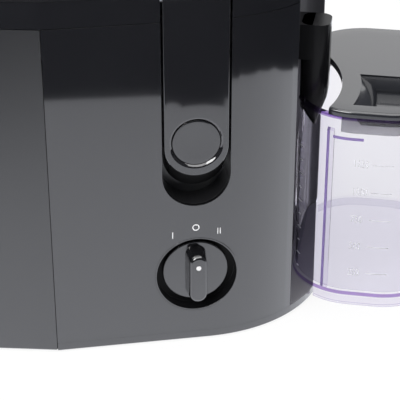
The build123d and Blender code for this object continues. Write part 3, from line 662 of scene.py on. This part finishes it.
def makeSpring(side):
    # A wound wire: points go round a circle while they move along the spring, and a ring of the wire's
    # radius is set at each point across the wire's direction.
    low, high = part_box(side + "_button_spring")
    size = springSizes
    wire, sides = size["wire"], size["sides"]
    centre = [(low.x + high.x) / 2, (low.z + high.z) / 2]
    length = high.y - low.y
    travelled = length - 2 * wire
    radius = (high.x - low.x) / 2 - wire
    share = np.linspace(0, 1, int(size["turns"] * size["perTurn"]) + 1)
    angle = share * size["turns"] * 2 * pi
    outwards = np.column_stack([np.cos(angle), np.zeros_like(angle), np.sin(angle)])
    path = np.column_stack([centre[0] + radius * outwards[:, 0], low.y + wire + share * travelled,
                            centre[1] + radius * outwards[:, 2]])
    rise = travelled / (size["turns"] * 2 * pi)
    tangent = np.column_stack([-radius * np.sin(angle), np.full_like(angle, rise), radius * np.cos(angle)])
    tangent = tangent / np.linalg.norm(tangent, axis=1)[:, None]
    across = np.cross(tangent, outwards)
    turn = np.arange(sides) * 2 * pi / sides
    ring = np.cos(turn)[:, None] * outwards[:, None] + np.sin(turn)[:, None] * across[:, None]
    points = (path[:, None] + wire * ring).reshape(-1, 3)
    faces = gridFaces(len(share), sides)
    piece = newPiece(side + "_spring_coil", points, faces, side + "_latch",
                     materials["brightSteel"], 60)
    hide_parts(side + "_button_spring")
    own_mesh(piece)


makeButton("front", -1, frontFace)
makeButton("rear", 1, rearFace)
makeSpring("front")
makeSpring("rear")
print("buttons made")

# jug and its lid

jugSizes = dict(centre=(133.8, 39.1), width=100.0, depth=145.0, corner=40.5, wall=2.5, bottom=1.0,
                floorUnder=8.0, floorTop=10.5, floorInset=14.0, rim=141.5, bead=0.9, beadHeight=3.0,
                edges=(1.5, 0.4, 0.9, 0.5, 0.4, 0.7, 0.8, 3.0))
slotSizes = dict(across=7.0, width=26.0, bottom=108.0, reach=8.0, above=20.0)
lipSizes = dict(radius=96.0, gap=1.6, front=(113.0, -150.0), back=(90.4, 98.0), start=-20.0, top=7.5,
                under=-10.0, firstAngle=-1.35, innerOut=50.0, corner=(10.0, 0.0))
lidSizes = dict(notch=104.0, top=145.2, skirtBottom=125.0, skirtInset=9.5, skirtWall=2.0,
                skirtTop=140.6, skirtSeam=133.0, skirtNotch=109.5, overhang=0.9, plateInset=12.0,
                plateUnder=140.5, plateEdges=(0.6, 2.4), rimWidth=1.1 * mm, pocketFront=-23.4,
                pocketBack=26.6, pocketRight=173.8, pocketCorner=30.5, pocketFloor=134.5, pocketNotch=116.5,
                pocketEdge=143.9, cupWall=1.6, cupUnder=132.1, slope=11.0, inwards=4.0,
                notchSpan=(0.12, 0.16), skirtSpan=(0.10, 0.16), pocketSpan=(130, 150))


def fromBay(places):
    # (out, across, height) in millimetres in the jug's own directions, placed in the frame
    places = np.asarray(places, float) * mm
    flat = motorAxis + places[:, :1] * jugWay + places[:, 1:2] * jugAcross
    return np.column_stack([flat, places[:, 2]])


def toBay(place):
    # a flat point of the frame as (out, across) in millimetres in the jug's own directions
    away = (place - motorAxis) / mm
    return np.array([away @ jugWay, away @ jugAcross])


def jugRing(inset, perCorner=22):
    # the jug's outline moved inwards by inset, in the jug's own directions
    (x, y), halfW, halfD = jugSizes["centre"], jugSizes["width"] / 2, jugSizes["depth"] / 2
    corners = boxRing(x - halfW, y - halfD, x + halfW, y + halfD)
    return offsetRing(corners, [jugSizes["corner"]] * 4, inset, perCorner)


def cutterBox(name, low, high):
    # a plain block in the jug's own directions, used to cut with
    corners = boxRing(*low[:2], *high[:2])
    points, faces = ringStack([corners, corners], [low[2], high[2]])
    return cutterMesh(name, fromBay(points), faces)


def cutterMesh(name, points, faces):
    mesh = bpy.data.meshes.new(name)
    mesh.from_pydata(np.asarray(points).tolist(), [], [list(face) for face in faces])
    return placed(name, mesh)


def roundCutter(name, centre, radius, low, high, count=512):
    profile = np.array([(0, low), (radius, low), (radius, high), (0, high)])
    points, faces = turned(profile, [centre[0], centre[1], 0], (0, 0, 1), count)
    piece = cutterMesh(name, points, faces)
    merged(piece.data, 1e-7)
    return piece


def lipCutter():
    # the space the base lip takes under the jug: an arc about the housing's round end, then a slanting line
    size = lipSizes
    centre = toBay(roundEnd)
    radius = size["radius"] + size["gap"]
    last = np.arcsin((size["start"] - centre[1]) / radius)
    angle = np.linspace(size["firstAngle"], last, 60)
    arc = centre + radius * np.column_stack([np.cos(angle), np.sin(angle)])
    front, back = np.array(size["front"]), np.array(size["back"])
    heights = np.array([size["start"], size["back"][1] + size["gap"]])
    line = front[0] + (back[0] - front[0]) * (heights - front[1]) / (back[1] - front[1]) + size["gap"]
    inner = [(size["innerOut"], heights[1]), size["corner"]]
    ring = np.concatenate([arc, np.column_stack([line, heights]), inner])
    points, faces = ringStack([ring, ring], [size["under"], size["top"]])
    return cutterMesh("lipCut", fromBay(points), faces)


def makeJug():
    # outline carried along a profile of (inset, height): skirt, wall, beaded rim, inside, floor
    size = jugSizes
    wall, rim, bead, floor = size["wall"], size["rim"], size["bead"], size["floorInset"]
    under, over, bottom = size["floorUnder"], size["floorTop"], size["bottom"]
    beadFrom = rim - size["beadHeight"]
    profile = softProfile([
        (floor, under), (wall, under), (wall, bottom), (0, bottom), (0, beadFrom), (-bead, beadFrom + 0.4),
        (-bead, rim), (wall, rim), (wall, over), (floor, over)], size["edges"], 6)
    rings = [jugRing(inset) for inset, height in profile]
    points, faces = ringStack(rings, [height for inset, height in profile])
    piece = newPiece("jug_finished", fromBay(points), faces, "jug", materials["clearViolet"])
    left = size["centre"][0] - size["width"] / 2
    reach, across, half = slotSizes["reach"], slotSizes["across"], slotSizes["width"] / 2
    cutBy(piece, cutterBox("slotCut", (left - reach, across - half, slotSizes["bottom"]),
                           (left + reach, across + half, rim + slotSizes["above"])))
    cutBy(piece, lipCutter())
    piece.data.shade_smooth()
    piece.data.set_sharp_from_angle(angle=radians(35))
    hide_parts("jug_body")
    return piece


def pocketRing(notch, inset):
    # The grip pocket's outline in the jug's own directions. Its left side is an arc of the notch radius about
    # the housing's round end; the other three sides run along the jug's and are drawn inwards by inset.
    size = lidSizes
    centre = toBay(roundEnd)
    front, back = size["pocketFront"] + inset, size["pocketBack"] - inset
    right, corner = size["pocketRight"] - inset, size["pocketCorner"] - inset
    across = np.linspace(back, front, 40)
    left = np.column_stack([centre[0] + np.sqrt(notch ** 2 - (across - centre[1]) ** 2), across])
    angle = np.linspace(-pi / 2, 0, 24)[:, None]
    turn = np.array([right - corner, front + corner]) + corner * np.hstack([np.cos(angle), np.sin(angle)])
    return np.concatenate([left, turn, [(right, back)]])


def makeLidCup():
    # the pocket's own wall, from under its floor, up outside, over its edge and down its sloping inside
    size = lidSizes
    edge, drop, wall = size["pocketEdge"], size["pocketEdge"] - size["pocketFloor"], size["cupWall"]
    rows = [(-wall, size["cupUnder"], 0.55), (-wall, edge - 0.7, -0.2), (-0.02, edge, 0.0)]
    rings = [pocketRing(size["pocketNotch"] + size["slope"] * lean, inset) for inset, height, lean in rows]
    heights = [height for inset, height, lean in rows]
    share = np.linspace(0, 1, 9)[1:]
    for down, lean in zip(share, 1 - (1 - share) ** 1.6):
        rings.append(pocketRing(size["pocketNotch"] + size["slope"] * lean, size["inwards"] * lean))
        heights.append(edge - drop * down)
    points, faces = ringStack(rings, heights)
    newPiece("jug_lid_cup", fromBay(points), faces, "jug_cover", materials["lidBlack"], 40)


def makeJugLid():
    # a plate with a rounded top edge, notched for the housing and cut open over the grip pocket
    size = lidSizes
    plate = softProfile([(size["plateInset"], size["plateUnder"]), (-size["overhang"], size["plateUnder"]),
                         (-size["overhang"], size["top"]), (size["plateInset"], size["top"])],
                        size["plateEdges"], 8)
    rings = [jugRing(inset) for inset, height in plate]
    points, faces = ringStack(rings, [height for inset, height in plate])
    piece = newPiece("jug_lid_finished", fromBay(points), faces, "jug_cover",
                     materials["lidBlack"], 25)
    cutBy(piece, roundCutter("notchCut", roundEnd, size["notch"] * mm, *size["notchSpan"]))
    rim = pocketRing(size["pocketNotch"], 0.0)
    points, faces = ringStack([rim, rim], size["pocketSpan"])
    cutBy(piece, cutterMesh("pocketCut", fromBay(points), faces))
    roundEdges(piece, size["rimWidth"], 4, 35)
    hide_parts("jug_lid")


def makeSkirt():
    # the skirt that drops from the lid inside the jug's rim
    size = lidSizes
    outer, inner = size["skirtInset"], size["skirtInset"] + size["skirtWall"]
    bottom, top, seam = size["skirtBottom"], size["skirtTop"], (inner, size["skirtSeam"])
    skirt = softProfile([seam, (inner, bottom), (outer, bottom), (outer, top), (inner, top), seam],
                        (0.8, 0.8, 0.2, 0.2), 5)
    rings = [jugRing(inset) for inset, height in skirt]
    points, faces = ringStack(rings, [height for inset, height in skirt], False, False)
    piece = newPiece("jug_lid_skirt", fromBay(points), faces, "jug_cover",
                     materials["skirtGrey"])
    cutBy(piece, roundCutter("skirtCut", roundEnd, size["skirtNotch"] * mm, *size["skirtSpan"]))


# marks moulded on the jug, and its inner rib

markSizes = dict(litresHeight=27.0, stepHeight=20.3, textWidth=0.72, textSize=7.2, proud=0.28, sunk=-0.05,
                 line=(12.5, 26.3), thick=0.5, halfThick=0.4, textFrom=0.2, leftLine=(-45, -40),
                 leftHalfLine=(-44, -41.5), level=(-14, 6), levelHeight=125.6, levelThick=1.9,
                 ribFrom=244.9, ribTo=249.6, ribDeep=5.0, ribTop=128.0, ribSunk=0.3, edgeTurn=3.0,
                 edgeGap=0.02)


def onJugWall(places):
    # Rows of (along, height, outwards) in millimetres on the jug's front wall. Along is measured from where
    # the left corner meets the flat front; past the flat it follows the corner's arc.
    places = np.asarray(places, float)
    (x, y), corner = jugSizes["centre"], jugSizes["corner"]
    start = x - jugSizes["width"] / 2 + corner
    flat = jugSizes["width"] - 2 * corner
    front = y - jugSizes["depth"] / 2
    along = places[:, 0]
    past = np.where(along > flat, along - flat, np.minimum(along, 0.0)) / corner
    base = start + np.clip(along, 0, flat)
    radius = corner + places[:, 2]
    out, across = base + radius * np.sin(past), front + corner - radius * np.cos(past)
    return fromBay(np.column_stack([out, across, places[:, 1]]))


def markBlock(span, height, thick):
    # a raised line on the jug's wall, cut into short steps so that it follows the corner
    along = np.linspace(span[0], span[1], 9)
    low, high = height - thick / 2, height + thick / 2
    sunk, proud = markSizes["sunk"], markSizes["proud"]
    section = np.array([(low, sunk), (low, proud), (high, proud), (high, sunk)])
    rows = np.column_stack([np.repeat(along, len(section)), np.tile(section, (len(along), 1))])
    return onJugWall(rows), gridFaces(len(along), len(section))


def markText(words, along, height):
    # raised figures: an extruded text turned to mesh, then laid on the wall
    curve = bpy.data.curves.new("figures", "FONT")
    curve.body = words
    curve.size = markSizes["textSize"]
    curve.extrude = markSizes["proud"] / 2
    curve.align_y = "CENTER"
    holder = placed("figures", curve)
    mesh = bpy.data.meshes.new_from_object(holder.evaluated_get(bpy.context.evaluated_depsgraph_get()))
    bpy.data.objects.remove(holder)
    places = np.empty(len(mesh.vertices) * 3)
    mesh.vertices.foreach_get("co", places)
    places = places.reshape(-1, 3)
    laid = np.column_stack([along + places[:, 0] * markSizes["textWidth"], height + places[:, 1],
                            places[:, 2] + markSizes["proud"] / 2])
    return onJugWall(laid), [tuple(face.vertices) for face in mesh.polygons]


def makeJugMarks():
    # every 250 ml: a line and its number on the front, a long and a short line on the left corner
    mark = markSizes
    pieces = []
    for step, words in enumerate(("250", "500", "750", "1000", "1250")):
        height = mark["litresHeight"] + step * mark["stepHeight"]
        pieces.append(markBlock(mark["line"], height, mark["thick"]))
        pieces.append(markText(words, mark["textFrom"], height))
        pieces.append(markBlock(mark["leftLine"], height, mark["thick"]))
        pieces.append(markBlock(mark["leftHalfLine"], height - mark["stepHeight"] / 2, mark["halfThick"]))
    points, faces = joined(pieces)
    newPiece("jug_marks", points, faces, "jug", materials["markWhite"], 30)
    # a level line just under the lid's skirt
    points, faces = markBlock(mark["level"], mark["levelHeight"], mark["levelThick"])
    newPiece("jug_level_line", points, faces, "jug", materials["violetEdge"], 30)


def ribBlock(name, fromAngle, toAngle, shift, material):
    # an upright block on the inside of the left front corner, between two directions from its centre
    size, mark = jugSizes, markSizes
    centre = np.array(size["centre"]) - np.array([size["width"], size["depth"]]) / 2 + size["corner"]
    outer = size["corner"] - size["wall"] + mark["ribSunk"]
    first, last = (centre + outer * np.array([cos(angle), sin(angle)])
                   for angle in (radians(fromAngle), radians(toAngle)))
    last = last - np.array([shift, 0])
    inwards = np.array([0.0, mark["ribDeep"]])
    ring = np.array([first, last, last + inwards, first + inwards])
    points, faces = ringStack([ring, ring], [size["floorTop"] - mark["ribSunk"], mark["ribTop"]])
    newPiece(name, fromBay(points), faces, "jug", material, 30)


def makeRib():
    # a clear rib whose left side carries a deep violet edge
    mark, start = markSizes, markSizes["ribFrom"]
    ribBlock("jug_rib", start, mark["ribTo"], 0.0, materials["ribClear"])
    ribBlock("jug_rib_edge", start - mark["edgeTurn"], start, mark["edgeGap"], materials["violetEdge"])


# spout

spoutRows = [   # height, centre out, half length, half width, corner: the nozzle from its top to its beak
    (190.0, 93.8, 9.3, 11.5, 7.0), (143.0, 93.8, 9.3, 11.2, 7.0), (138.0, 93.6, 8.9, 10.8, 6.5),
    (132.0, 93.0, 7.5, 9.8, 5.5), (126.0, 93.2, 4.9, 7.6, 3.8), (121.5, 93.9, 3.0, 5.4, 2.3),
    (118.0, 94.4, 1.6, 3.4, 1.3), (116.5, 94.6, 1.0, 2.4, 0.9)]
ductSizes = dict(near=74.0, far=92.0, halfWidth=11.5, bottom=166.0, top=190.0)


def makeSpout():
    across = slotSizes["across"]
    rings, heights = [], []
    for height, out, halfLong, halfWide, corner in reversed(spoutRows):
        corners = boxRing(out - halfLong, across - halfWide, out + halfLong, across + halfWide)
        rings.append(offsetRing(corners, [corner] * 4, 0.0, 12))
        heights.append(height)
    points, faces = ringStack(rings, heights)
    # the duct that brings the juice from the bowl
    size = ductSizes
    duct = boxRing(size["near"], across - size["halfWidth"], size["far"], across + size["halfWidth"])
    points, faces = joined([(points, faces), ringStack([duct, duct], [size["bottom"], size["top"]])])
    piece = newPiece("spout_finished", fromBay(points), faces, "base_unit",
                     materials["spoutBlack"], 40)
    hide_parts("spout")


makeJug()
makeJugLid()
makeLidCup()
makeSkirt()
makeJugMarks()
makeRib()
makeSpout()
print("jug and spout made")

# stage, light and camera

cameraView = dict(target=(2.0, -96.0, 103.2), distance=897.0, turn=9.58, pitch=28.42, lens=129.8)


def placeCamera():
    # the camera looks along a level turn to the right of +Y and a pitch below the horizon
    turn, pitch = radians(cameraView["turn"]), radians(cameraView["pitch"])
    ahead = Vector((sin(turn) * cos(pitch), cos(turn) * cos(pitch), -sin(pitch)))
    target = Vector((*motorAxis, 0)) + Vector(cameraView["target"]) * mm
    data = bpy.data.cameras.new("camera")
    data.lens = cameraView["lens"]
    data.sensor_width = 36
    data.clip_start = 0.01
    camera = placed("camera", data)
    camera.location = target - ahead * cameraView["distance"] * mm
    camera.rotation_euler = ahead.to_track_quat("-Z", "Y").to_euler()
    scene.camera = camera


# place, aim, size and power of each light, in metres and watts
lights = {
    "overhead": ((0.1, -0.2, 1.8), (0, -0.05, 0), (2.2, 2.2), 44),
    "keyLeft": ((-0.75, -0.75, 1.0), (0, -0.09, 0.1), (0.7, 0.7), 13),
    "backSheet": ((0.3, 2.6, 1.6), (0, 0, 0.2), (4.0, 1.8), 22),
}
# the paper's share of plain light, the colour of the painted glow that gloss sees on it, and the line of y over
# which that painted glow grows
floorLook = dict(half=4.0, colour=(0.9, 0.9, 0.9), plain=0.85, paintedGlossGlow=(0.96, 0.98, 1.05, 1), glow={
    "From Min": -0.49, "From Max": -0.08, "To Min": 1.0, "To Max": 1.36})
# the inner edge of the dark sheet that paints dark reflections, in millimetres from the motor axis, its height and
# its colour
cardLook = dict(height=2 * mm, reach=4.0, colour=(0.030, 0.032, 0.042), edge=[
    (-4000, -250), (-300, -330), (-285, -482), (-70, -485), (28, -478), (44, -474), (49, -460), (84, -456),
    (90, -480), (110, -486), (256, -450), (364, -368), (430, -282), (468, -163), (500, -40), (4000, 100)])
worldLook = dict(lit=(0.085, 0.088, 0.10, 1), seen=(1, 1, 1, 1))


def areaLight(name, place, target, size, power):
    data = bpy.data.lights.new(name, "AREA")
    data.shape = "RECTANGLE"
    data.size, data.size_y = size
    data.energy = power
    light = placed(name, data)
    light.location = place
    aim = Vector(target) - Vector(place)
    light.rotation_euler = aim.to_track_quat("-Z", "Y").to_euler()


def stageSheet(name, points, faces, colour):
    mesh = bpy.data.meshes.new(name)
    mesh.from_pydata(points, [], faces)
    material = bpy.data.materials.new(name)
    material.use_nodes = True
    shader = material.node_tree.nodes["Principled BSDF"]
    setInputs(shader, {"Base Color": (*colour, 1), "Roughness": 0.9, "Specular IOR Level": 0.1})
    mesh.materials.append(material)
    sheet = placed(name, mesh)
    return sheet


def glossOnly(sheet):
    # seen only in reflections
    sheet.visible_camera = False
    sheet.visible_diffuse = False
    sheet.visible_shadow = False
    sheet.visible_transmission = False


def setFloor():
    look, half = floorLook, floorLook["half"]
    corners = [(-half, -half, 0), (half, -half, 0), (half, half, 0), (-half, half, 0)]
    floor = stageSheet("floor", corners, [(0, 1, 2, 3)], look["colour"])
    # the lens sees clean white paper with only a breath of shade
    # gloss sees the paper glowing, a painted reflection of light that is strongest near the machine
    tree = floor.data.materials[0].node_tree
    lit = tree.nodes["Principled BSDF"]
    rays = tree.nodes.new("ShaderNodeLightPath")
    place = tree.nodes.new("ShaderNodeTexCoord")
    split = tree.nodes.new("ShaderNodeSeparateXYZ")
    tree.links.new(place.outputs["Object"], split.inputs[0])
    fall = tree.nodes.new("ShaderNodeMapRange")
    setInputs(fall, look["glow"])
    tree.links.new(split.outputs[1], fall.inputs["Value"])
    paintedGlossGlow = tree.nodes.new("ShaderNodeEmission")
    paintedGlossGlow.inputs["Color"].default_value = look["paintedGlossGlow"]
    tree.links.new(fall.outputs[0], paintedGlossGlow.inputs["Strength"])
    paper = tree.nodes.new("ShaderNodeEmission")
    direct = mathNode(tree, "MAXIMUM", rays.outputs["Is Camera Ray"], rays.outputs["Is Transmission Ray"])
    glossy = mathNode(tree, "SUBTRACT", rays.outputs["Is Glossy Ray"], rays.outputs["Is Transmission Ray"])
    layers = [(look["plain"], lit, paper), (direct, lit, None), (glossy, None, paintedGlossGlow)]
    last = lit
    for factor, first, second in layers:
        mix = tree.nodes.new("ShaderNodeMixShader")
        if isinstance(factor, bpy.types.NodeSocket):
            tree.links.new(factor, mix.inputs[0])
        else:
            mix.inputs[0].default_value = factor
        tree.links.new((first or last).outputs[0], mix.inputs[1])
        tree.links.new((second or last).outputs[0], mix.inputs[2])
        last = mix
    tree.links.new(last.outputs[0], tree.nodes["Material Output"].inputs["Surface"])


def setCards():
    # a dark sheet before and beside the machine, flat and a little above the paper, seen only in gloss: it paints
    # dark reflections on the black plastic
    look = cardLook
    edge = np.array(look["edge"]) * mm + motorAxis
    reach, height = look["reach"], look["height"]
    far = np.column_stack([np.clip(edge[:, 0] * 6, -reach, reach), np.full(len(edge), -reach)])
    points = [(x, y, height) for x, y in np.concatenate([edge, far])]
    count = len(edge)
    faces = [(i + count, i + 1 + count, i + 1, i) for i in range(count - 1)]
    glossOnly(stageSheet("darkCard", points, faces, look["colour"]))


def setStage():
    setFloor()
    setCards()
    for name, (place, aim, size, power) in lights.items():
        areaLight(name, place, aim, size, power)
    world = bpy.data.worlds.new("world")
    scene.world = world
    world.use_nodes = True
    tree = world.node_tree
    rays = tree.nodes.new("ShaderNodeLightPath")
    seen = tree.nodes.new("ShaderNodeBackground")
    seen.inputs["Color"].default_value = worldLook["seen"]
    lit = tree.nodes["Background"]
    lit.inputs["Color"].default_value = worldLook["lit"]
    mixed = tree.nodes.new("ShaderNodeMixShader")
    tree.links.new(rays.outputs["Is Camera Ray"], mixed.inputs[0])
    tree.links.new(lit.outputs[0], mixed.inputs[1])
    tree.links.new(seen.outputs[0], mixed.inputs[2])
    tree.links.new(mixed.outputs[0], tree.nodes["World Output"].inputs["Surface"])
    scene.view_settings.view_transform = "Standard"


placeCamera()
setStage()
print("stage set")
